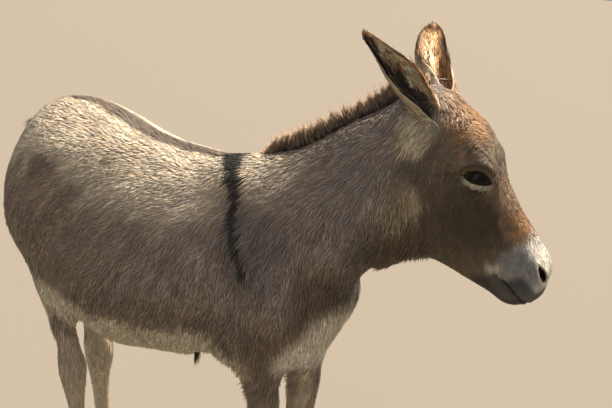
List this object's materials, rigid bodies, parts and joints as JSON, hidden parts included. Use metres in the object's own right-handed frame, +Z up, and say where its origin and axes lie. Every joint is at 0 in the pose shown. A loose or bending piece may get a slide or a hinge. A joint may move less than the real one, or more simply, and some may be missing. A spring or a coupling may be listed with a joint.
{
  "type": "donkey",
  "caption": "Life-size still model of a small grey-dun donkey standing square on its hooves, head turned to its left, ears spread and upright mane.",
  "frame": {"origin": "middle of the outline on the ground, between the feet", "axes": "+X forwards along the trunk, +Y to the donkey's left, +Z up"},
  "size_m": [1.2104, 0.4346, 1.1234],
  "materials": {
    "coat": "short, thick grey-dun hair with a cream belly and muzzle and a dark shoulder cross",
    "ear_coat": "short hair, cream and tan inside, brown along the rim and dark at the tip",
    "mane_hair": "coarse dark brown upright hair with tan tips",
    "horn": "dark grey horn with fine growth rings",
    "eye": "wet, very dark brown eye"
  },
  "bodies": {
    "root": {"trunk": "coat", "neck": "coat", "head": "coat", "leg_fore_right": "coat", "hoof_fore_right": "horn", "leg_fore_left": "coat", "hoof_fore_left": "horn", "leg_hind_right": "coat", "hoof_hind_right": "horn", "leg_hind_left": "coat", "hoof_hind_left": "horn", "ear_right": "ear_coat", "ear_left": "ear_coat", "eye_right": "eye", "eye_left": "eye", "mane": "mane_hair", "tail": "coat", "tail_tassel": "mane_hair"}
  },
  "joints": []
}
